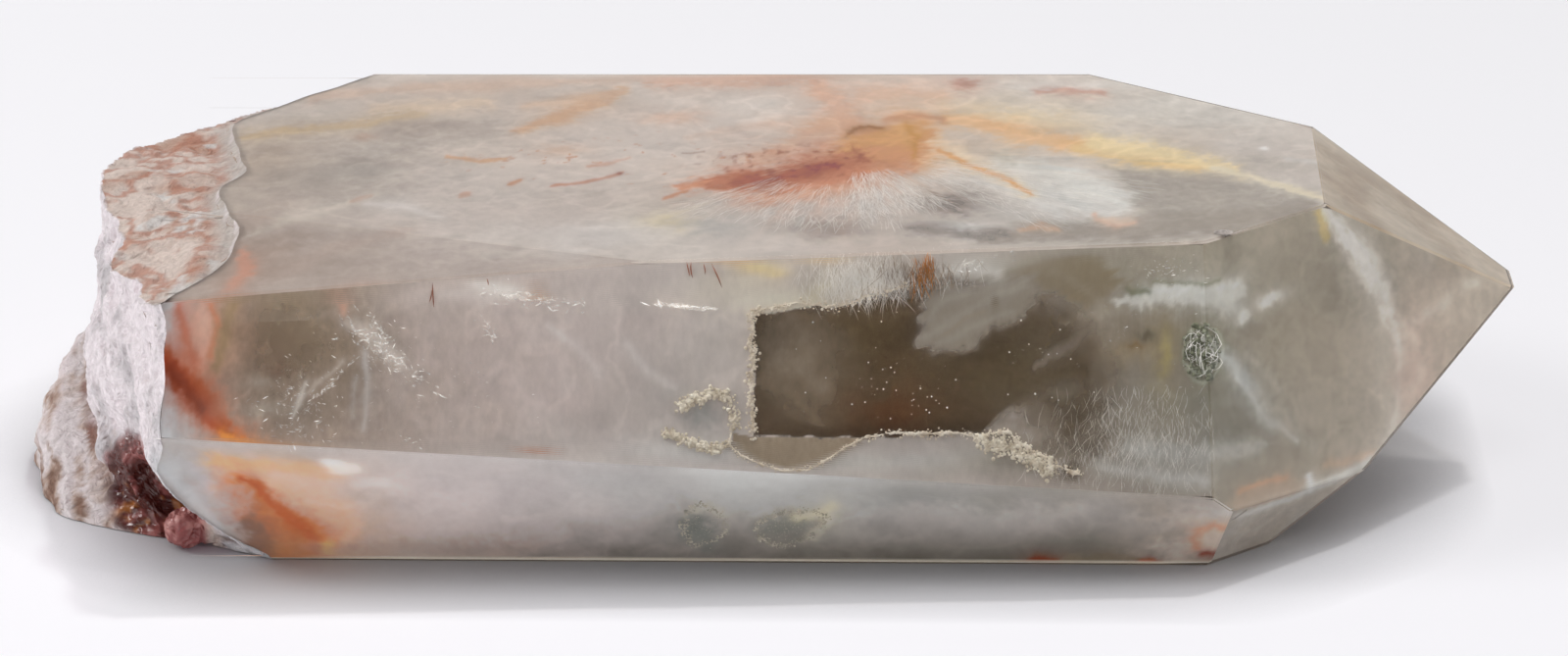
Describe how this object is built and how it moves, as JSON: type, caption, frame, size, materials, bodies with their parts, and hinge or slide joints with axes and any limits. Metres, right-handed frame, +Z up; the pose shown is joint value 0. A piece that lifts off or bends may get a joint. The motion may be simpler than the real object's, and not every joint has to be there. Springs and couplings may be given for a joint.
{
  "type": "amphibole in quartz",
  "caption": "Flat-lying polished quartz crystal with a pointed end, a rough broken end and sealed amphibole fibres and iron stains; rests on one prism face.",
  "frame": {"origin": "on the resting prism face's plane, at the middle of the crystal's bounding box seen from above", "axes": "+X along the crystal's long axis towards its point, +Y towards the back, +Z up from the resting face"},
  "size_m": [0.1, 0.055, 0.0206],
  "materials": {
    "smoky_quartz": "polished see-through smoky quartz, clouded by fine fibres, with a rough matt broken end",
    "mineral_fibres": "pale matt fibres, crusts and iron-stained films sealed in the quartz"
  },
  "bodies": {
    "root": {"quartz_crystal": "smoky_quartz"}
  },
  "joints": []
}
